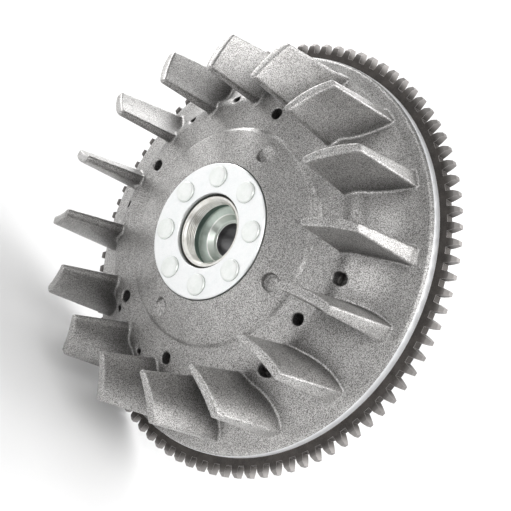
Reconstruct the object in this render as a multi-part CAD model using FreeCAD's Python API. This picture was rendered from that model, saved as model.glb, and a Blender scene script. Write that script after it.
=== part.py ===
import FreeCAD, Part
import math
import os

# Fan-cooled magneto flywheel with a shrunk-on starter ring gear.
#
# Every solid is drawn on the bench: the spin axis is +Z, the fan faces up, and z = 0 is the
# gauge plane, the large end of the crank taper. to_row_frame() then stands the wheel up:
# it spins about Y, the fan faces -Y and the magnet side faces +Y. Millimetres throughout.

V = FreeCAD.Vector
ORIGIN = V(0, 0, 0)
AXIS = V(0, 0, 1)
SEAM_ANGLE = 11.25  # the seams of round faces lie between two blades

# Starter ring gear
TEETH = 89
MODULE = 2.0
PRESSURE_ANGLE = math.radians(14.5)
TOOTH_THINNING = 0.4  # clearance to the pinion, off each tooth at the pitch circle
TOOTH_PHASE = math.radians(-0.75)
GEAR_PITCH_R = TEETH * MODULE / 2
GEAR_TIP_R = GEAR_PITCH_R + MODULE
GEAR_ROOT_R = GEAR_PITCH_R - 1.25 * MODULE
GEAR_SEAT_R = 83.4
GEAR_BACK_Z = 2.0
GEAR_FRONT_Z = 5.9
GEAR_BEVEL = 1.3

# Die-cast fan rotor, front side
WEB_BORE_R = 15.0
PLATE_SEAT_R = 27.6
PLATE_SEAT_Z = 37.0
WEB_FRONT_Z = 38.5
BOSS_EDGE_R = 44.0
BOSS_EDGE_Z = 32.2
BOSS_STEP = 1.2
BED_EDGE_R = 59.5
BED_EDGE_Z = 27.5
CREASE_R = 78.0
CREASE_Z = 11.8
RIM_LAND_Z = 10.9
RIM_MACHINED_Z = 9.2
SHOULDER_R = 85.0
LOBE_R = 32.1
LOBE_OFFSET = 15.4
LOBE_ANGLE = 63.5

# Die-cast fan rotor, magnet side
WEB_BACK_Z = 31.0
DRUM_SEAT_R = 57.0
DRUM_SHOULDER_Z = 24.5
DRUM_WALL = 4.5
DRUM_BACK_Z = -2.5
RIM_BACK_Z = -2.0
RIM_INNER_R = 78.5
RECESS_TOP_Z = 17.0
BACK_RIBS = 16
RIB_THICKNESS = 2.4

# Fan blades
BLADES = 16
BLADE_TOP_Z = 20.0 + 39.5
BLADE_ROOT_Z = 9.5
BLADE_TIP_R = 59.0
BLADE_TIP_Z = 59.1
BLADE_CORNER_R = 77.2
BLADE_CORNER_Z = 49.1
BLADE_EDGE_RADIUS = 0.5

# Cast and drilled marks on the front: angles in degrees, anticlockwise seen from the fan side
CORE_HOLE_R = 52.9
CORE_HOLE_D = 4.7
CORE_HOLE_ANGLES = (12.3, 76.9, 121.3, 192.6, 256.9, 298.0)
PIN_MARK_R = 59.5
PIN_MARK_D = 4.3
PIN_MARK_Z = 27.2
PIN_HOLE_D = 2.6
PIN_HOLE_Z = 21.0
PIN_MARK_GAPS = (6, 7, 9, 11, 12)
BALANCE_R = 58.8
BALANCE_D = 4.8
BALANCE_FLOOR_Z = 22.6
BALANCE_GAPS = (15, 1)
FLAT_MARK_R = 60.2
FLAT_MARK_Z = 26.6
FLAT_MARK_D = 6.2
FLAT_MARK_SLOPE = 42.0  # the mark's face looks outwards and forwards, in degrees from the axis
FLAT_MARK_GAP = 2
BOSS_MARK_R = 36.6
BOSS_MARK_D = 7.0
BOSS_MARK_Z = 33.6
BOSS_MARK_ANGLES = (17.5, 108.5, 283.5)

# Steel hub
COLLAR_R = 14.8
COLLAR_TOP_Z = 38.0
THREAD_MINOR_R = 12.46
THREAD_TOP_Z = 36.9
THREAD_BOTTOM_Z = 32.2
RELIEF_R = 13.2
FLOOR_Z = 28.7
SEAT_Z = 25.0
SEAT_R = 8.3
LAND_R = 7.0
LAND_LENGTH = 3.0
TAPER_LARGE_R = 9.5
TAPER_RATIO = 5.0
FLANGE_R = 27.5
FLANGE_THICKNESS = 5.0
BARREL_R = 14.5
KEY_WIDTH = 4.0
KEY_DEPTH = 1.6

# Clamp plate and rivets
PLATE_FRONT_Z = 39.5
PLATE_BORE_R = 15.2
RIVETS = 8
RIVET_PCD = 43.5
RIVET_SHANK_R = 2.5
RIVET_HEAD_R = 4.25
RIVET_HEAD_HEIGHT = 1.0
RIVET_TAIL_HEIGHT = 1.5
RIVET_PHASE = 2.0

# Magnet ring
MAGNETS = 6
MAGNET_ANGLE = 50.0
MAGNET_INNER_R = 47.0
MAGNET_OUTER_R = 53.0
MAGNET_BACK_Z = -0.9
MAGNET_FRONT_Z = 22.5
FLUX_RING_BACK_Z = -2.0
LINER_WALL = 0.6


def turned(steps):
    """A solid of revolution from the steps round its half section.

    Each step is an (r, z) corner reached by a straight line, or a pair of (r, z) points, the
    middle and the end of an arc. The first step is a corner.
    """
    start = V(steps[0][0], 0, steps[0][1])
    here = start
    edges = []
    for step in steps[1:] + steps[:1]:
        if isinstance(step[0], tuple):
            middle, end = [V(r, 0, z) for r, z in step]
            edges.append(arc(here, middle, end))
        else:
            end = V(step[0], 0, step[1])
            edges.append(Part.LineSegment(here, end).toShape())
        here = end
    half_section = Part.Face(Part.Wire(edges))
    return spun(half_section.revolve(ORIGIN, AXIS, 360), SEAM_ANGLE)


def ring(inner_r, outer_r, low_z, high_z):
    height = high_z - low_z
    outer = Part.makeCylinder(outer_r, height, V(0, 0, low_z))
    return outer.cut(Part.makeCylinder(inner_r, height, V(0, 0, low_z)))


def at_polar(radius, degrees, z):
    angle = math.radians(degrees)
    return V(radius * math.cos(angle), radius * math.sin(angle), z)


def spun(shape, degrees):
    copy = shape.copy()
    copy.rotate(ORIGIN, AXIS, degrees)
    return copy


def arc(start, middle, end):
    return Part.Arc(start, middle, end).toShape()


def to_row_frame(shape):
    standing = shape.copy()
    standing.rotate(ORIGIN, V(1, 0, 0), 90)
    return standing


# Ring gear


def involute_half_angle(radius):
    """Half the angle that a tooth covers at this radius."""
    base_r = GEAR_PITCH_R * math.cos(PRESSURE_ANGLE)

    def involute(at_r):
        pressure = math.acos(base_r / at_r)
        return math.tan(pressure) - pressure

    pitch_half = math.pi / (2 * TEETH) - TOOTH_THINNING / (2 * GEAR_PITCH_R)
    return pitch_half + involute(GEAR_PITCH_R) - involute(radius)


def gear_point(radius, centre_angle, side):
    angle = centre_angle + side * involute_half_angle(radius)
    return V(radius * math.cos(angle), radius * math.sin(angle), 0)


def gear_outline():
    middle_r = (GEAR_ROOT_R + GEAR_TIP_R) / 2
    pitch = 2 * math.pi / TEETH
    edges = []
    for tooth in range(TEETH):
        centre = TOOTH_PHASE + tooth * pitch
        root_in = gear_point(GEAR_ROOT_R, centre, -1)
        tip_in = gear_point(GEAR_TIP_R, centre, -1)
        tip_out = gear_point(GEAR_TIP_R, centre, 1)
        root_out = gear_point(GEAR_ROOT_R, centre, 1)
        next_root = gear_point(GEAR_ROOT_R, centre + pitch, -1)
        tip_mid = V(GEAR_TIP_R * math.cos(centre), GEAR_TIP_R * math.sin(centre), 0)
        gap = centre + pitch / 2
        gap_mid = V(GEAR_ROOT_R * math.cos(gap), GEAR_ROOT_R * math.sin(gap), 0)
        edges.append(arc(root_in, gear_point(middle_r, centre, -1), tip_in))
        edges.append(arc(tip_in, tip_mid, tip_out))
        edges.append(arc(tip_out, gear_point(middle_r, centre, 1), root_out))
        edges.append(arc(root_out, gap_mid, next_root))
    return Part.Wire(edges)


def starter_ring_gear():
    teeth = Part.Face(gear_outline()).extrude(V(0, 0, GEAR_FRONT_Z - GEAR_BACK_Z))
    teeth.translate(V(0, 0, GEAR_BACK_Z))
    lead_in = 1.2 * GEAR_BEVEL
    blank = turned([
        (GEAR_SEAT_R, GEAR_BACK_Z),
        (GEAR_TIP_R + 1, GEAR_BACK_Z),
        (GEAR_TIP_R + 1, GEAR_FRONT_Z - GEAR_BEVEL - 1),
        (GEAR_TIP_R - lead_in, GEAR_FRONT_Z),
        (GEAR_SEAT_R, GEAR_FRONT_Z),
    ])
    return teeth.common(blank)


# Fan rotor casting


def rotor_blank():
    """The casting's disc, drum and rim, before the blades and holes."""
    return turned([
        (WEB_BORE_R, WEB_BACK_Z),
        (WEB_BORE_R, PLATE_SEAT_Z),
        (PLATE_SEAT_R, PLATE_SEAT_Z),
        (PLATE_SEAT_R, WEB_FRONT_Z),
        (28.4, WEB_FRONT_Z),
        (BOSS_EDGE_R - 1.2, BOSS_EDGE_Z + 0.5),
        ((BOSS_EDGE_R - 0.1, BOSS_EDGE_Z - 0.1), (BOSS_EDGE_R + 0.4, BOSS_EDGE_Z - BOSS_STEP)),
        (BED_EDGE_R - 3, BED_EDGE_Z + 1.4),
        ((BED_EDGE_R + 0.7, BED_EDGE_Z - 0.6), (BED_EDGE_R + 3, BED_EDGE_Z - 3.9)),
        ((68.0, 17.4), (CREASE_R - 1, CREASE_Z + 0.5)),
        ((CREASE_R + 0.2, CREASE_Z), (CREASE_R + 1.5, CREASE_Z - 0.3)),
        (GEAR_SEAT_R - 1.2, RIM_LAND_Z),
        ((GEAR_SEAT_R - 0.7, RIM_LAND_Z - 0.3), (GEAR_SEAT_R - 0.5, RIM_LAND_Z - 0.8)),
        (GEAR_SEAT_R - 0.45, RIM_MACHINED_Z + 0.2),
        (GEAR_SEAT_R, RIM_MACHINED_Z),
        (GEAR_SEAT_R, GEAR_BACK_Z),
        (SHOULDER_R, GEAR_BACK_Z),
        (SHOULDER_R, RIM_BACK_Z),
        (RIM_INNER_R, RIM_BACK_Z),
        (DRUM_SEAT_R + DRUM_WALL, RIM_BACK_Z),
        (DRUM_SEAT_R + DRUM_WALL, DRUM_BACK_Z),
        (DRUM_SEAT_R, DRUM_BACK_Z),
        (DRUM_SEAT_R, DRUM_SHOULDER_Z),
        (46.5, DRUM_SHOULDER_Z),
        (30.0, 30.2),
        (28.4, WEB_BACK_Z),
    ])


def back_recess():
    """The hollow between the drum and the rim, open to the magnet side."""
    return turned([
        (DRUM_SEAT_R + DRUM_WALL, DRUM_BACK_Z - 5),
        (DRUM_SEAT_R + DRUM_WALL + 0.5, RECESS_TOP_Z),
        (66.0, 13.3),
        (72.0, 9.0),
        (RIM_INNER_R, 6.5),
        (RIM_INNER_R, DRUM_BACK_Z - 5),
    ])


def boss_lobe():
    """The bulge on one side of the boss: an off-centre disc that blends into the round boss."""
    pad = turned([
        (0, BOSS_EDGE_Z - 2),
        (0, BOSS_EDGE_Z + 0.2),
        (LOBE_R - 0.8, BOSS_EDGE_Z - 0.5),
        (LOBE_R, BOSS_EDGE_Z - 2),
    ])
    pad.translate(at_polar(LOBE_OFFSET, LOBE_ANGLE, 0))
    middle = Part.makeCylinder(LOBE_R, 60)
    return pad.cut(middle)


def blade_section(z, tip_x, end_x, inner, middle, outer):
    """A plan section. inner, middle and outer hold the (clockwise, anticlockwise) side offsets."""
    mid_x = (tip_x + end_x) / 2
    nose_x = tip_x + 1.1
    low_in = V(nose_x, inner[0], z)
    high_in = V(nose_x, inner[1], z)
    low_out = V(end_x, outer[0], z)
    high_out = V(end_x, outer[1], z)
    return Part.Wire([
        arc(low_in, V(mid_x, middle[0], z), low_out),
        Part.LineSegment(low_out, high_out).toShape(),
        arc(high_out, V(mid_x, middle[1], z), high_in),
        arc(high_in, V(tip_x, (inner[0] + inner[1]) / 2, z), low_in),
    ])


def blade():
    """One fan blade along +X: thicker at the root, its front edge falling outwards."""
    top = blade_section(BLADE_TOP_Z, 58.9, 77.0, (-0.1, 2.9), (1.45, 4.75), (1.9, 4.1))
    root = blade_section(BLADE_ROOT_Z, 53.6, 78.3, (-3.2, 1.7), (-1.2, 6.4), (-1.3, 5.8))
    body = Part.makeLoft([root, top], True, True)
    fall = (BLADE_CORNER_Z - BLADE_TIP_Z) / (BLADE_CORNER_R - BLADE_TIP_R)
    over = [
        V(BLADE_TIP_R - 20, -20, BLADE_TIP_Z - 20 * fall),
        V(BLADE_TIP_R + 40, -20, BLADE_TIP_Z + 40 * fall),
        V(BLADE_TIP_R + 40, -20, BLADE_TIP_Z + 40),
        V(BLADE_TIP_R - 20, -20, BLADE_TIP_Z + 40),
    ]
    waste = Part.Face(Part.makePolygon(over + over[:1])).extrude(V(0, 40, 0))
    trimmed = body.cut(waste)
    rounded = []
    for edge in trimmed.Edges:
        box = edge.BoundBox
        on_top = box.ZMin > 45
        upright_outside = box.ZLength > 30 and box.XMin > 70
        if on_top or upright_outside:
            rounded.append(edge)
    return trimmed.makeFillet(BLADE_EDGE_RADIUS, rounded)


def back_rib():
    """One stiffening rib across the recess between the drum and the rim."""
    outline = [
        V(DRUM_SEAT_R + DRUM_WALL - 1, -RIB_THICKNESS / 2, 3.0),
        V(RIM_INNER_R + 1, -RIB_THICKNESS / 2, 1.0),
        V(RIM_INNER_R + 1, -RIB_THICKNESS / 2, 8.0),
        V(DRUM_SEAT_R + DRUM_WALL - 1, -RIB_THICKNESS / 2, 19.0),
    ]
    return Part.Face(Part.makePolygon(outline + outline[:1])).extrude(V(0, RIB_THICKNESS, 0))


def front_drilling(radius, degrees, diameter, floor_z):
    base = at_polar(radius, degrees, floor_z)
    return Part.makeCylinder(diameter / 2, 45 - floor_z, base)


def gap_angle(gap):
    return (gap + 0.5) * 360 / BLADES


def flat_mark():
    """A tool that leaves a small round flat on the rounded edge of the bed."""
    slope = math.radians(FLAT_MARK_SLOPE)
    outwards = V(math.sin(slope), 0, math.cos(slope))
    tool = Part.makeCylinder(FLAT_MARK_D / 2, 6, V(FLAT_MARK_R, 0, FLAT_MARK_Z), outwards)
    return spun(tool, gap_angle(FLAT_MARK_GAP))


def rotor_holes():
    holes = []
    for degrees in CORE_HOLE_ANGLES:
        holes.append(front_drilling(CORE_HOLE_R, degrees, CORE_HOLE_D, DRUM_SHOULDER_Z - 1))
    for gap in PIN_MARK_GAPS:
        holes.append(front_drilling(PIN_MARK_R, gap_angle(gap), PIN_MARK_D, PIN_MARK_Z))
        holes.append(front_drilling(PIN_MARK_R, gap_angle(gap), PIN_HOLE_D, PIN_HOLE_Z))
    for gap in BALANCE_GAPS:
        holes.append(front_drilling(BALANCE_R, gap_angle(gap), BALANCE_D, BALANCE_FLOOR_Z))
    for degrees in BOSS_MARK_ANGLES:
        holes.append(front_drilling(BOSS_MARK_R, degrees, BOSS_MARK_D, BOSS_MARK_Z))
    holes.append(flat_mark())
    return holes


def rivet_places():
    return [RIVET_PHASE + k * 360 / RIVETS for k in range(RIVETS)]


def rivet_holes(low_z, high_z):
    radius = RIVET_PCD / 2
    holes = []
    for degrees in rivet_places():
        base = at_polar(radius, degrees, low_z)
        holes.append(Part.makeCylinder(RIVET_SHANK_R, high_z - low_z, base))
    return holes


def fan_rotor():
    blades = [spun(blade(), k * 360 / BLADES) for k in range(BLADES)]
    ribs = [spun(back_rib(), (k + 0.5) * 360 / BACK_RIBS) for k in range(BACK_RIBS)]
    drum_bore = ring(46.5, DRUM_SEAT_R, DRUM_BACK_Z - 5, DRUM_SHOULDER_Z)
    casting = rotor_blank().fuse([boss_lobe()] + blades)
    casting = casting.cut([drum_bore, back_recess()])
    casting = casting.fuse(ribs)
    casting = casting.cut(rotor_holes() + rivet_holes(20, 45))
    return casting.removeSplitter()


# Hub, clamp plate and rivets


def taper_radius(z):
    return TAPER_LARGE_R - z / (2 * TAPER_RATIO)


def hub():
    land_z = SEAT_Z - LAND_LENGTH
    flange_back = WEB_BACK_Z - FLANGE_THICKNESS
    body = turned([
        (COLLAR_R, WEB_BACK_Z),
        (COLLAR_R, COLLAR_TOP_Z - 0.4),
        (COLLAR_R - 0.4, COLLAR_TOP_Z),
        (THREAD_MINOR_R + 1.1, COLLAR_TOP_Z),
        (THREAD_MINOR_R, THREAD_TOP_Z),
        (THREAD_MINOR_R, THREAD_BOTTOM_Z),
        (RELIEF_R, THREAD_BOTTOM_Z - 0.5),
        (RELIEF_R, FLOOR_Z),
        (10.0, 27.3),
        (SEAT_R, SEAT_Z),
        (LAND_R, SEAT_Z),
        (LAND_R, land_z),
        (taper_radius(land_z), land_z),
        (TAPER_LARGE_R, 0),
        (BARREL_R - 0.8, 0),
        (BARREL_R, 0.8),
        (BARREL_R + 1.5, 22.0),
        (BARREL_R + 4.5, flange_back),
        (FLANGE_R - 0.6, flange_back),
        (FLANGE_R, flange_back + 0.6),
        (FLANGE_R, WEB_BACK_Z),
    ])
    key_top = TAPER_LARGE_R + KEY_DEPTH
    keyway = Part.makeBox(KEY_WIDTH, key_top, land_z + 1, V(-KEY_WIDTH / 2, 0, -1))
    return body.cut([keyway] + rivet_holes(20, 45))


def clamp_plate():
    body = turned([
        (PLATE_BORE_R, PLATE_SEAT_Z),
        (PLATE_BORE_R, PLATE_FRONT_Z - 0.2),
        (PLATE_BORE_R + 0.2, PLATE_FRONT_Z),
        (FLANGE_R - 0.4, PLATE_FRONT_Z),
        (FLANGE_R, PLATE_FRONT_Z - 0.4),
        (FLANGE_R, PLATE_SEAT_Z),
    ])
    return body.cut(rivet_holes(20, 45))


def rivet():
    back_z = WEB_BACK_Z - FLANGE_THICKNESS
    head_z = PLATE_FRONT_Z + RIVET_HEAD_HEIGHT
    tail_z = back_z - RIVET_TAIL_HEIGHT
    return turned([
        (0, tail_z),
        (RIVET_HEAD_R - 1.2, tail_z),
        (RIVET_HEAD_R - 0.4, back_z - 0.6),
        (RIVET_HEAD_R - 0.2, back_z),
        (RIVET_SHANK_R, back_z),
        (RIVET_SHANK_R, PLATE_FRONT_Z),
        (RIVET_HEAD_R, PLATE_FRONT_Z),
        (RIVET_HEAD_R, head_z - 0.5),
        (RIVET_HEAD_R - 0.5, head_z),
        (0, head_z),
    ])


def hub_rivets():
    rivets = []
    for degrees in rivet_places():
        one = rivet()
        one.translate(at_polar(RIVET_PCD / 2, degrees, 0))
        rivets.append(one)
    return Part.makeCompound(rivets)


# Magnet ring


def sector(inner_r, outer_r, low_z, high_z, from_angle, to_angle):
    """A block of a ring, between two angles in degrees."""
    outline = Part.makePolygon([
        V(inner_r, 0, low_z),
        V(outer_r, 0, low_z),
        V(outer_r, 0, high_z),
        V(inner_r, 0, high_z),
        V(inner_r, 0, low_z),
    ])
    block = Part.Face(outline).revolve(ORIGIN, AXIS, to_angle - from_angle)
    return spun(block, from_angle)


def magnet_block(index):
    pitch = 360 / MAGNETS
    start = index * pitch - MAGNET_ANGLE / 2
    return sector(MAGNET_INNER_R, MAGNET_OUTER_R, MAGNET_BACK_Z, MAGNET_FRONT_Z,
                  start, start + MAGNET_ANGLE)


def spacer_block(index):
    pitch = 360 / MAGNETS
    start = index * pitch + MAGNET_ANGLE / 2
    return sector(MAGNET_INNER_R, MAGNET_OUTER_R, MAGNET_BACK_Z, MAGNET_FRONT_Z,
                  start, start + pitch - MAGNET_ANGLE)


def magnet_liner():
    """The thin pressed cup over the inner faces and back ends of the magnets."""
    return turned([
        (MAGNET_INNER_R - LINER_WALL, MAGNET_BACK_Z - LINER_WALL),
        (MAGNET_OUTER_R - 0.2, MAGNET_BACK_Z - LINER_WALL),
        (MAGNET_OUTER_R - 0.2, MAGNET_BACK_Z),
        (MAGNET_INNER_R, MAGNET_BACK_Z),
        (MAGNET_INNER_R, MAGNET_FRONT_Z),
        (MAGNET_INNER_R - LINER_WALL, MAGNET_FRONT_Z),
    ])


def nodes():
    yield "fan_rotor", fan_rotor()
    yield "starter_ring_gear", starter_ring_gear()
    yield "hub", hub()
    yield "clamp_plate", clamp_plate()
    yield "hub_rivets", hub_rivets()
    yield "flux_ring", ring(MAGNET_OUTER_R, DRUM_SEAT_R, FLUX_RING_BACK_Z, DRUM_SHOULDER_Z)
    yield "magnet_liner", magnet_liner()
    for index in range(MAGNETS):
        yield f"magnet_{index + 1}", magnet_block(index)
        yield f"magnet_spacer_{index + 1}", spacer_block(index)


os.makedirs("parts", exist_ok=True)
for node, shape in nodes():
    to_row_frame(shape).exportStep(f"parts/{node}.step")
    print(node, len(shape.Solids), "solid(s)", round(shape.Volume / 1000, 2), "cm3", shape.isValid())
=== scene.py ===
import bpy
import bmesh
import math
import numpy as np
from mathutils import Matrix, Vector


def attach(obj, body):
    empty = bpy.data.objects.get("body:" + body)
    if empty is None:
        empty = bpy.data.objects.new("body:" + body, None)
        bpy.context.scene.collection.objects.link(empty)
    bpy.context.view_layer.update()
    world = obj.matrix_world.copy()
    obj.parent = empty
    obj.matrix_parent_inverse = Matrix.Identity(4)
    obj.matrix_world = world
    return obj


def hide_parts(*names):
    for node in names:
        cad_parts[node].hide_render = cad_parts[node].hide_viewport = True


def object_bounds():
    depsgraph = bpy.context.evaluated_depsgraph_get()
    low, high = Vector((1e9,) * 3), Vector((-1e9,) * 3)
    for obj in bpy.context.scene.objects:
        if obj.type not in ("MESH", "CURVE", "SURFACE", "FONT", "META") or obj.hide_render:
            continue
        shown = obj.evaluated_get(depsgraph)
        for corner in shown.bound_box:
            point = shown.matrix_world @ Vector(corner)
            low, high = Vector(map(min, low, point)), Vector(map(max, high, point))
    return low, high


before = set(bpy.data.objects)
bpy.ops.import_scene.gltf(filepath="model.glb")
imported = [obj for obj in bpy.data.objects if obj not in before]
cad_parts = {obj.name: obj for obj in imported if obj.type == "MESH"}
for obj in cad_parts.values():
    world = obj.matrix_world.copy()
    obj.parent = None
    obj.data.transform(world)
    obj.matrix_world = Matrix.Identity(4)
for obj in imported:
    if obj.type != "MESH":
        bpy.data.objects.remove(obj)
cad_low, cad_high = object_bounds()

MM = 0.001
TURN = 2 * math.pi

# Heights are measured up the spin axis from the crank taper's large end, towards the fan, in mm.
# In the row frame that axis is -Y. Radii are in mm from the spin axis.

# Casting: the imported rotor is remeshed, then smoothed where it is not machined
CASTING_VOXEL = 0.5 * MM
CASTING_SMOOTHING = 4
CASTING_FACES = 190000
WELD = 2e-6  # in metres: points closer than this are merged
RIM_MACHINED_R = 82.4
PLATE_SEAT_R = 28.6
DRUM_BORE_R = 57.3
DRUM_FLOOR = 25.0
BOSS_R = 46.0
BOSS_SOFTNESS = 0.4  # the share of the smoothing that the boss and its cast marks get

# Hub: puller thread M26 x 1, knurled collar edge, keyway
HUB_SEGMENTS = 384
THREAD_PITCH = 1.0
THREAD_CREST_R = 12.46
THREAD_ROOT_R = 13.0
THREAD_TOP = 37.0
THREAD_BOTTOM = 32.0
KNURL_TEETH = 96
KEY_BOX = (4.0, 24.0, 11.1)
KEY_CENTRE = (0.0, -11.0, 5.55)

# Rivets
RIVETS = 8
RIVET_CIRCLE_R = 21.75
RIVET_PHASE = 2.0

# Tool marks left by the lathe, in lines per metre
RIM_TOOL_LINES = 2600
HUB_TOOL_LINES = 2500

# Studio and camera: angles in degrees, lengths in metres, the lens in mm
WORLD_LIGHT = 0.08
FLOOR_GAP = 0.0002
FLOOR_HALF_SIZE = 4.0
CAMERA_AZIMUTH = 36.40
CAMERA_ELEVATION = 19.75
CAMERA_ROLL = 47.9
CAMERA_DISTANCE = 0.52477
CAMERA_TARGET = Vector((0.00633, -0.01479, 0.00191))
CAMERA_LENS = 92.8


def row_point(r, angle, height):
    """The row-frame point at a radius and height in mm and an angle in radians."""
    return Vector((r * math.cos(angle) * MM, -height * MM, r * math.sin(angle) * MM))


def new_piece(name, mesh, slot, *nodes):
    piece = bpy.data.objects.new(name, mesh)
    bpy.context.scene.collection.objects.link(piece)
    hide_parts(*nodes)
    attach(piece, "root")
    return piece


def applied(piece):
    """The piece's mesh with its modifiers applied; the modifiers are removed."""
    graph = bpy.context.evaluated_depsgraph_get()
    mesh = bpy.data.meshes.new_from_object(piece.evaluated_get(graph))
    piece.modifiers.clear()
    piece.data = mesh
    return mesh


def smooth_shaded(mesh, sharp_degrees=None):
    mesh.shade_smooth()
    if sharp_degrees is not None:
        mesh.set_sharp_from_angle(angle=math.radians(sharp_degrees))


# Meshes


def lathe(name, rings, segments, centre=(0, 0), closed=False):
    """A turned mesh. Each ring is (r, height) in mm, or a function of the angle giving them."""
    mesh = bpy.data.meshes.new(name)
    bm = bmesh.new()
    rows = []
    for ring in rings:
        row = []
        for k in range(segments):
            angle = TURN * k / segments
            r, height = ring(angle) if callable(ring) else ring
            point = row_point(r, angle, height)
            point.x += centre[0] * MM
            point.z += centre[1] * MM
            row.append(bm.verts.new(point))
        rows.append(row)
    pairs = list(zip(rows, rows[1:]))
    if closed:
        pairs.append((rows[-1], rows[0]))
    for a, b in pairs:
        for k in range(segments):
            n = (k + 1) % segments
            bm.faces.new((a[k], a[n], b[n], b[k]))
    if not closed:
        for row, flip in ((rows[0], False), (rows[-1], True)):
            bm.faces.new(row if flip else list(reversed(row)))
    bmesh.ops.recalc_face_normals(bm, faces=bm.faces)
    bm.to_mesh(mesh)
    bm.free()
    return mesh


def fan_casting():
    """The cast rotor with the rounded edges and root fillets of a die casting."""
    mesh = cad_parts["fan_rotor"].data.copy()
    mesh.name = "fan_casting"
    bm = bmesh.new()
    bm.from_mesh(mesh)
    bmesh.ops.remove_doubles(bm, verts=bm.verts, dist=WELD)
    bm.to_mesh(mesh)
    bm.free()
    piece = new_piece("fan_casting", mesh, "cast_aluminium", "fan_rotor")
    piece.data.materials.clear()
    remesh = piece.modifiers.new("skin", "REMESH")
    remesh.mode = "VOXEL"
    remesh.voxel_size = CASTING_VOXEL
    mesh = applied(piece)
    points = np.empty(len(mesh.vertices) * 3, np.float32)
    mesh.vertices.foreach_get("co", points)
    points = points.reshape(-1, 3) / MM
    r = np.hypot(points[:, 0], points[:, 2])
    height = -points[:, 1]
    in_drum = (r < DRUM_BORE_R) & (height < DRUM_FLOOR)
    machined = (r > RIM_MACHINED_R) | (r < PLATE_SEAT_R) | in_drum
    boss = (r < BOSS_R) & (height > DRUM_FLOOR)
    group = piece.vertex_groups.new(name="cast")
    group.add(np.flatnonzero(~machined & ~boss).tolist(), 1.0, "REPLACE")
    group.add(np.flatnonzero(~machined & boss).tolist(), BOSS_SOFTNESS, "REPLACE")
    soften = piece.modifiers.new("soften", "SMOOTH")
    soften.factor = 0.5
    soften.iterations = CASTING_SMOOTHING
    soften.vertex_group = "cast"
    reduce = piece.modifiers.new("reduce", "DECIMATE")
    reduce.ratio = CASTING_FACES / (2 * len(mesh.polygons))
    applied(piece)
    piece.vertex_groups.clear()
    smooth_shaded(piece.data)
    return piece


def threaded_hub():
    """The hub, with its real helical puller thread and the knurled edge of its collar."""
    def thread(height):
        def at(angle):
            turn = (height / THREAD_PITCH + angle / TURN) % 1.0
            depth = min(1.0, max(0.0, abs(turn - 0.5) * 2.6 - 0.6))
            run_out = min(1.0, (THREAD_TOP - height) / 0.5, (height - THREAD_BOTTOM) / 0.5)
            cut = (THREAD_ROOT_R - THREAD_CREST_R) * depth * max(0.0, run_out)
            return THREAD_CREST_R + cut, height
        return at

    def knurl(r, height, depth):
        def at(angle):
            return r + depth * abs(math.sin(angle * KNURL_TEETH / 2)), height
        return at

    rings = [(19.0, 26.05), (26.9, 26.0), (27.3, 26.15), (27.5, 26.6), (27.5, 31.0)]
    rings += [(16.0, 31.0), (14.8, 31.0), (14.8, 35.6), (14.5, 36.0), knurl(14.3, 36.6, 0.7)]
    rings += [knurl(14.3, 37.5, 0.65), knurl(14.2, 37.8, 0.15), (14.15, 37.97), (14.05, 38.0)]
    rings += [(13.5, 38.0), (13.38, 37.95), (13.1, 37.6)]
    rings += [thread(37.1 - 0.1 * k) for k in range(50)]
    rings += [(13.0, 31.95), (13.2, 31.7), (13.2, 29.0), (13.0, 28.72), (12.7, 28.66)]
    rings += [(10.1, 27.32), (9.95, 27.2), (8.45, 25.15), (8.25, 25.0), (7.15, 25.0)]
    rings += [(7.0, 24.85), (7.0, 22.0), (7.3, 22.0)]
    rings += [(9.4, 0.1), (9.55, 0.0), (13.6, 0.0), (13.9, 0.1), (14.4, 0.6), (14.5, 0.9)]
    rings += [(15.2, 10.0), (16.0, 22.0)]
    mesh = lathe("hub", rings, HUB_SEGMENTS, closed=True)
    piece = new_piece("hub_steel", mesh, "zinc_steel", "hub")
    slot_box = bpy.data.meshes.new("keyway")
    bm = bmesh.new()
    bmesh.ops.create_cube(bm, size=1.0)
    bmesh.ops.scale(bm, vec=[side * MM for side in KEY_BOX], verts=bm.verts)
    bmesh.ops.translate(bm, vec=[place * MM for place in KEY_CENTRE], verts=bm.verts)
    bm.to_mesh(slot_box)
    bm.free()
    cutter = bpy.data.objects.new("keyway", slot_box)
    bpy.context.scene.collection.objects.link(cutter)
    cut = piece.modifiers.new("keyway", "BOOLEAN")
    cut.operation = "DIFFERENCE"
    cut.object = cutter
    applied(piece)
    bpy.data.objects.remove(cutter)
    smooth_shaded(piece.data, 38)
    return piece


def rivet_heads():
    """Eight rivets in one piece: low flat heads in front, upset tails behind the hub flange."""
    profile = [(0.001, 40.5), (3.55, 40.5), (3.85, 40.44), (4.08, 40.28), (4.2, 40.05)]
    profile += [(4.25, 39.75), (4.25, 39.5), (2.5, 39.5), (2.5, 26.0), (4.05, 26.0)]
    profile += [(3.95, 25.5), (3.4, 24.95), (2.8, 24.8), (0.001, 24.8)]
    bm = bmesh.new()
    for k in range(RIVETS):
        angle = math.radians(RIVET_PHASE) + TURN * k / RIVETS
        centre = (RIVET_CIRCLE_R * math.cos(angle), RIVET_CIRCLE_R * math.sin(angle))
        one = lathe("rivet", profile, 48, centre)
        bm.from_mesh(one)
        bpy.data.meshes.remove(one)
    bmesh.ops.remove_doubles(bm, verts=bm.verts, dist=WELD)
    mesh = bpy.data.meshes.new("rivets")
    bm.to_mesh(mesh)
    bm.free()
    smooth_shaded(mesh, 50)
    return new_piece("rivets", mesh, "rivet_zinc", "hub_rivets")


# Materials


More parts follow.
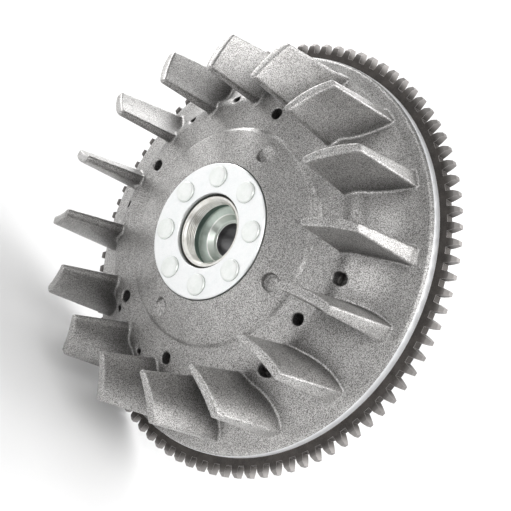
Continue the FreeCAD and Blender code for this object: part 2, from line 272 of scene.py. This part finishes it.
class Nodes:
    """A short way to wire a node tree."""

    def __init__(self, name):
        self.material = bpy.data.materials.new(name)
        self.material.use_nodes = True
        self.tree = self.material.node_tree
        self.tree.nodes.clear()
        self.shader = self.add("ShaderNodeBsdfPrincipled")
        output = self.add("ShaderNodeOutputMaterial")
        self.link(self.shader.outputs[0], output.inputs[0])
        self.place = self.add("ShaderNodeTexCoord").outputs["Object"]

    def add(self, kind, **values):
        node = self.tree.nodes.new(kind)
        for key, value in values.items():
            setattr(node, key, value)
        return node

    def link(self, a, b):
        self.tree.links.new(a, b)

    def feed(self, value, socket):
        if isinstance(value, bpy.types.NodeSocket):
            self.link(value, socket)
        else:
            socket.default_value = value

    def maths(self, operation, a, b=0.0):
        node = self.add("ShaderNodeMath", operation=operation)
        self.feed(a, node.inputs[0])
        self.feed(b, node.inputs[1])
        return node.outputs[0]

    def noise(self, per_metre, detail=2.0, roughness=0.5, seed=0.0):
        node = self.add("ShaderNodeTexNoise", noise_dimensions="4D")
        node.inputs["Scale"].default_value = per_metre
        node.inputs["Detail"].default_value = detail
        node.inputs["Roughness"].default_value = roughness
        node.inputs["W"].default_value = seed
        self.link(self.place, node.inputs["Vector"])
        return node.outputs["Fac"]

    def step(self, value, low, high, out_low=0.0, out_high=1.0):
        node = self.add("ShaderNodeMapRange", interpolation_type="SMOOTHSTEP")
        self.link(value, node.inputs["Value"])
        for key, number in (("From Min", low), ("From Max", high),
                            ("To Min", out_low), ("To Max", out_high)):
            node.inputs[key].default_value = number
        return node.outputs[0]

    def mix(self, share, a, b):
        node = self.add("ShaderNodeMix", data_type="RGBA")
        self.feed(share, node.inputs[0])
        self.feed(a, node.inputs[6])
        self.feed(b, node.inputs[7])
        return node.outputs[2]

    def radius(self):
        """The distance from the spin axis and the place along it (y), in metres."""
        parts = self.add("ShaderNodeSeparateXYZ")
        self.link(self.place, parts.inputs[0])
        x2 = self.maths("MULTIPLY", parts.outputs[0], parts.outputs[0])
        z2 = self.maths("MULTIPLY", parts.outputs[2], parts.outputs[2])
        return self.maths("SQRT", self.maths("ADD", x2, z2)), parts.outputs[1]

    def edges(self, radius):
        """1 on worn outside edges: where the bevelled normal leaves the face's own normal."""
        bevel = self.add("ShaderNodeBevel", samples=4)
        bevel.inputs["Radius"].default_value = radius
        geometry = self.add("ShaderNodeNewGeometry")
        dot = self.add("ShaderNodeVectorMath", operation="DOT_PRODUCT")
        self.link(bevel.outputs[0], dot.inputs[0])
        self.link(geometry.outputs["Normal"], dot.inputs[1])
        return self.step(self.maths("SUBTRACT", 1.0, dot.outputs["Value"]), 0.02, 0.3)

    def shade_openness(self, reach):
        """0 deep in a hollow, 1 in the open; the mask for painted shade in recesses."""
        shade = self.add("ShaderNodeAmbientOcclusion", samples=8)
        shade.inputs["Distance"].default_value = reach
        return self.step(shade.outputs["AO"], 0.25, 0.95)

    def bump(self, height, distance, strength=1.0):
        node = self.add("ShaderNodeBump")
        node.inputs["Strength"].default_value = strength
        node.inputs["Distance"].default_value = distance
        self.link(height, node.inputs["Height"])
        return node.outputs[0]

    def surface(self, colour=None, metallic=None, roughness=None, normal=None):
        for name, value in (("Base Color", colour), ("Metallic", metallic),
                            ("Roughness", roughness), ("Normal", normal)):
            if value is not None:
                self.feed(value, self.shader.inputs[name])
        return self.material


def grey(level, warm=0.0):
    return (level * (1 + warm), level, level * (1 - warm), 1.0)


def cast_aluminium():
    """Shot-blasted die-cast aluminium, speckled, with bright worn edges, a machined rim and
    painted shade darkening its recesses.
    """
    n = Nodes("cast_aluminium")
    grain = n.noise(2600, 3, 0.7)
    blotch = n.noise(160, 3, 0.6, 3.0)
    tone = n.maths("ADD", n.step(grain, 0.39, 0.61, -0.5, 0.5),
                   n.step(blotch, 0.3, 0.7, -0.08, 0.08))
    tone = n.step(tone, -0.6, 0.6)
    body = n.mix(tone, grey(0.18, 0.035), grey(0.68, 0.014))
    worn = n.edges(0.5 * MM)
    colour = n.mix(worn, body, grey(0.80))
    r, y = n.radius()
    outside = n.step(r, 82.9 * MM, 83.15 * MM)
    band = n.maths("MULTIPLY", outside, n.step(y, -9.6 * MM, -9.3 * MM))
    rough = n.step(grain, 0.3, 0.7, 0.56, 0.42)
    # Painted shade: the colour is darkened towards near-black deep in the recesses between the
    # blades.
    unshaded_share = n.step(n.shade_openness(23 * MM), 0.30, 0.80)
    colour = n.mix(unshaded_share, n.mix(0.66, colour, grey(0.03, 0.04)), colour)
    lines = n.maths("SINE", n.maths("MULTIPLY", n.maths("ADD", y, r), RIM_TOOL_LINES * TURN))
    cut = n.maths("ADD", n.step(blotch, 0.3, 0.7, 0.0, 0.7), n.step(lines, -1.0, 1.0, 0.0, 0.3))
    colour = n.mix(band, colour, n.mix(cut, (0.86, 0.87, 0.89, 1), (0.98, 0.99, 1.0, 1)))
    shine = n.add("ShaderNodeMix", data_type="FLOAT")
    n.link(band, shine.inputs[0])
    n.link(rough, shine.inputs[2])
    shine.inputs[3].default_value = 0.4
    bump = n.bump(grain, 0.10 * MM, 0.45)
    metal = n.step(band, 0.0, 1.0, 0.85, 0.25)
    return n.surface(colour, metal, shine.outputs[0], bump)


def gear_steel():
    """Oil-blackened steel, brown-grey, with paler tooth tips and edges."""
    n = Nodes("blackened_steel")
    grain = n.noise(1900, 4, 0.6, 1.0)
    stain = n.noise(220, 4, 0.6, 2.0)
    body = n.mix(n.step(stain, 0.3, 0.7), (0.045, 0.040, 0.037, 1), (0.085, 0.076, 0.070, 1))
    body = n.mix(n.step(grain, 0.4, 0.75, 0.0, 0.4), body, (0.16, 0.15, 0.14, 1))
    r, y = n.radius()
    tips = n.step(r, 87.0 * MM, 90.6 * MM, 0.0, 0.8)
    colour = n.mix(tips, body, (0.34, 0.325, 0.315, 1))
    colour = n.mix(n.edges(0.4 * MM), colour, (0.46, 0.44, 0.43, 1))
    rough = n.step(grain, 0.3, 0.7, 0.45, 0.62)
    return n.surface(colour, 0.7, rough, n.bump(grain, 0.06 * MM, 0.35))


def bright_zinc(name, low, high, rough_low, rough_high):
    """Bright zinc plate: nearly white, with a faint cloudy tint, fine wipe marks and painted
    green-grey shade in its recesses.
    """
    n = Nodes(name)
    cloud = n.noise(260, 3, 0.55, 5.0)
    fine = n.noise(3000, 2, 0.5, 6.0)
    colour = n.mix(n.step(cloud, 0.32, 0.68), low, high)
    colour = n.mix(n.step(fine, 0.45, 0.8, 0.0, 0.25), colour, grey(0.70))
    # Painted shade: green-grey darkening in the recesses round the rivet heads and the plate.
    colour = n.mix(n.step(n.shade_openness(1.2 * MM), 0.3, 0.8), (0.30, 0.33, 0.30, 1), colour)
    rough = n.step(cloud, 0.3, 0.7, rough_low, rough_high)
    return n.surface(colour, 0.6, rough, n.bump(fine, 0.005 * MM, 0.1))


def turned_steel(name, low, high, rough, rings_per_metre, depth):
    """Turned steel: fine tool rings round the spin axis over a cloudy plated colour."""
    n = Nodes(name)
    r, y = n.radius()
    sweep = n.maths("ADD", r, n.maths("MULTIPLY", y, 0.6))
    rings = n.maths("SINE", n.maths("MULTIPLY", sweep, rings_per_metre * TURN))
    cloud = n.noise(300, 3, 0.6, 8.0)
    share = n.maths("ADD", n.step(cloud, 0.3, 0.7, 0.0, 0.8), n.maths("MULTIPLY", rings, 0.12))
    colour = n.mix(n.step(share, 0.0, 0.9), low, high)
    colour = n.mix(n.edges(0.25 * MM), colour, (0.92, 0.93, 0.92, 1))
    return n.surface(colour, 0.92, rough, n.bump(rings, depth, 0.3))


def hub_zinc():
    """Zinc-plated hub: a pale collar and thread, a green-grey pocket with painted highlights on
    two lips and painted shade in its relief recess, and a crank hole painted near-black as shade.
    """
    n = Nodes("zinc_steel")
    r, y = n.radius()
    sweep = n.maths("ADD", r, n.maths("MULTIPLY", y, 0.6))
    rings = n.maths("SINE", n.maths("MULTIPLY", sweep, HUB_TOOL_LINES * TURN))
    cloud = n.step(n.noise(420, 3, 0.6, 8.0), 0.3, 0.7)
    collar = n.mix(cloud, (0.76, 0.74, 0.69, 1), (0.92, 0.91, 0.88, 1))
    pocket = n.mix(cloud, (0.52, 0.60, 0.54, 1), (0.64, 0.72, 0.66, 1))
    inner = n.step(r, 10.0 * MM, 9.7 * MM)
    pocket = n.mix(inner, pocket, (0.66, 0.71, 0.66, 1))
    # Painted highlights: near-white rings on the two small lips inside the pocket.
    for lip in (10.05 * MM, 7.15 * MM):
        lip_highlight = n.maths("MULTIPLY", n.step(r, lip - 0.25 * MM, lip - 0.15 * MM),
                       n.step(r, lip + 0.25 * MM, lip + 0.15 * MM))
        pocket = n.mix(lip_highlight, pocket, (0.97, 0.98, 0.95, 1))
    roots = n.maths("MULTIPLY", n.step(y, -37.3 * MM, -37.1 * MM),
                    n.step(r, 12.55 * MM, 12.85 * MM))
    collar = n.mix(roots, collar, (0.40, 0.38, 0.34, 1))
    deep = n.step(y, -31.9 * MM, -31.5 * MM)
    colour = n.mix(deep, collar, pocket)
    # Painted shade: the thread relief recess is painted dark green-grey.
    groove_shade = n.maths("MULTIPLY", n.step(r, 12.9 * MM, 13.15 * MM), deep)
    groove_shade = n.maths("MULTIPLY", groove_shade, n.step(y, -28.3 * MM, -28.6 * MM))
    colour = n.mix(groove_shade, colour, (0.22, 0.29, 0.26, 1))
    gap = n.maths("MULTIPLY", n.step(r, 14.15 * MM, 14.3 * MM), n.step(y, -38.1 * MM, -37.9 * MM))
    gap = n.maths("MULTIPLY", gap, n.step(y, -35.2 * MM, -35.5 * MM))
    colour = n.mix(gap, colour, (0.13, 0.12, 0.11, 1))
    # Painted shade: the crank taper hole is painted near-black and made less metallic.
    bore_shade = n.maths("MULTIPLY", n.step(y, -24.9 * MM, -24.6 * MM), n.step(r, 12.5 * MM, 11.0 * MM))
    colour = n.mix(bore_shade, colour, (0.085, 0.084, 0.087, 1))
    worn = n.maths("MULTIPLY", n.edges(0.22 * MM), n.maths("SUBTRACT", 1.0, bore_shade))
    colour = n.mix(worn, colour, (0.94, 0.95, 0.93, 1))
    metal = n.step(bore_shade, 0.0, 1.0, 0.85, 0.3)
    rough = n.step(cloud, 0.0, 1.0, 0.30, 0.42)
    return n.surface(colour, metal, rough, n.bump(rings, 0.02 * MM, 0.3))


def dark_ferrite():
    n = Nodes("ferrite")
    grain = n.noise(1500, 4, 0.6, 4.0)
    spots = n.noise(400, 3, 0.6, 9.0)
    colour = n.mix(n.step(grain, 0.3, 0.7), grey(0.035, 0.01), grey(0.075, 0.01))
    colour = n.mix(n.step(spots, 0.6, 0.75, 0.0, 0.6), colour, grey(0.13, 0.03))
    rough = n.step(grain, 0.3, 0.7, 0.55, 0.75)
    return n.surface(colour, 0.15, rough, n.bump(grain, 0.08 * MM, 0.4))


def moulded_plastic():
    n = Nodes("spacer_plastic")
    grain = n.noise(2200, 3, 0.6, 12.0)
    flow = n.noise(180, 2, 0.5, 13.0)
    colour = n.mix(n.step(flow, 0.3, 0.7), (0.42, 0.40, 0.34, 1), (0.52, 0.50, 0.43, 1))
    rough = n.step(grain, 0.3, 0.7, 0.42, 0.55)
    return n.surface(colour, None, rough, n.bump(grain, 0.03 * MM, 0.3))


def studio_floor():
    n = Nodes("studio_paper")
    n.place = n.add("ShaderNodeNewGeometry").outputs["Position"]
    paper = n.noise(8, 3, 0.5, 20.0)
    colour = n.mix(n.step(paper, 0.3, 0.7), (0.87, 0.87, 0.87, 1), (0.90, 0.90, 0.90, 1))
    return n.surface(colour, None, n.step(paper, 0.3, 0.7, 0.85, 0.95))


def paint(piece, material):
    piece.data.materials.clear()
    piece.data.materials.append(material)


def paint_node(name, material):
    """Gives a CAD node its material through the object's own slots."""
    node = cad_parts[name]
    if not node.material_slots:
        node.data.materials.append(material)
    for slot in node.material_slots:
        slot.link = "OBJECT"
        slot.material = material


# Studio


def studio():
    world = bpy.data.worlds.new("studio")
    bpy.context.scene.world = world
    world.use_nodes = True
    background = world.node_tree.nodes["Background"]
    background.inputs[0].default_value = (1.0, 1.0, 1.0, 1)
    background.inputs[1].default_value = WORLD_LIGHT
    floor = bpy.data.meshes.new("studio_floor")
    bm = bmesh.new()
    bmesh.ops.create_grid(bm, x_segments=12, y_segments=12, size=FLOOR_HALF_SIZE)
    bmesh.ops.translate(bm, vec=(0, 0, cad_low.z - FLOOR_GAP), verts=bm.verts)
    bm.to_mesh(floor)
    bm.free()
    ground = bpy.data.objects.new("studio_floor", floor)
    bpy.context.scene.collection.objects.link(ground)
    paint(ground, studio_floor())


def camera():
    """The camera at the photograph's viewing angle."""
    a, e = math.radians(CAMERA_AZIMUTH), math.radians(CAMERA_ELEVATION)
    back = Vector((math.sin(a) * math.cos(e), -math.cos(a) * math.cos(e), math.sin(e)))
    level = back.to_track_quat("Z", "Y")
    turn = level @ Matrix.Rotation(math.radians(CAMERA_ROLL), 4, "Z").to_quaternion()
    data = bpy.data.cameras.new("camera")
    data.lens = CAMERA_LENS
    data.sensor_width = 36.0
    eye = bpy.data.objects.new("camera", data)
    bpy.context.scene.collection.objects.link(eye)
    eye.location = CAMERA_TARGET + back * CAMERA_DISTANCE
    eye.rotation_mode = "QUATERNION"
    eye.rotation_quaternion = turn
    data.clip_start = 0.01
    data.clip_end = 50.0
    bpy.context.scene.camera = eye


def soft_light(name, azimuth, elevation, width, strength):
    """A wide, distant, soft light. The angles are in degrees; azimuth 0 is from +X, 90 from +Y."""
    data = bpy.data.lights.new(name, "SUN")
    data.angle = math.radians(width)
    data.energy = strength
    lamp = bpy.data.objects.new(name, data)
    bpy.context.scene.collection.objects.link(lamp)
    a, e = math.radians(azimuth), math.radians(elevation)
    towards = Vector((math.cos(a) * math.cos(e), math.sin(a) * math.cos(e), math.sin(e)))
    lamp.location = towards
    lamp.rotation_mode = "QUATERNION"
    lamp.rotation_quaternion = towards.to_track_quat("Z", "Y")


# The object

casting = fan_casting()
hub_piece = threaded_hub()
rivets = rivet_heads()

paint(casting, cast_aluminium())
paint(hub_piece, hub_zinc())
paint(rivets, bright_zinc("rivet_zinc", (0.86, 0.89, 0.86, 1), (0.95, 0.97, 0.95, 1), 0.32, 0.40))
paint_node("clamp_plate", bright_zinc("bright_zinc", (0.92, 0.94, 0.94, 1),
                                      (0.98, 0.99, 0.99, 1), 0.30, 0.38))
paint_node("starter_ring_gear", gear_steel())
paint_node("flux_ring", turned_steel("bare_steel", (0.42, 0.41, 0.39, 1), (0.58, 0.57, 0.55, 1),
                                     0.38, 1800, 0.03 * MM))
paint_node("magnet_liner", turned_steel("liner_steel", (0.55, 0.56, 0.56, 1),
                                        (0.70, 0.71, 0.71, 1), 0.34, 1200, 0.01 * MM))
ferrite = dark_ferrite()
plastic = moulded_plastic()
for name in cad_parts:
    if name.startswith("magnet_spacer"):
        paint_node(name, plastic)
    elif name.startswith("magnet_") and name != "magnet_liner":
        paint_node(name, ferrite)

studio()
camera()
soft_light("left_low", 180, 12, 30, 1.75)
soft_light("left_behind_low", 137, 16, 28, 0.8)
soft_light("behind_low", 90, 12, 30, 0.3)
soft_light("behind", 90, 45, 40, 0.85)
soft_light("behind_right", 45, 38, 48, 1.9)
soft_light("right", 0, 42, 50, 0.6)
soft_light("front_right", 315, 42, 40, 1.1)
soft_light("front", 270, 42, 40, 0.25)
soft_light("front_left", 225, 42, 40, 0.45)

bpy.context.scene.view_settings.view_transform = "Standard"
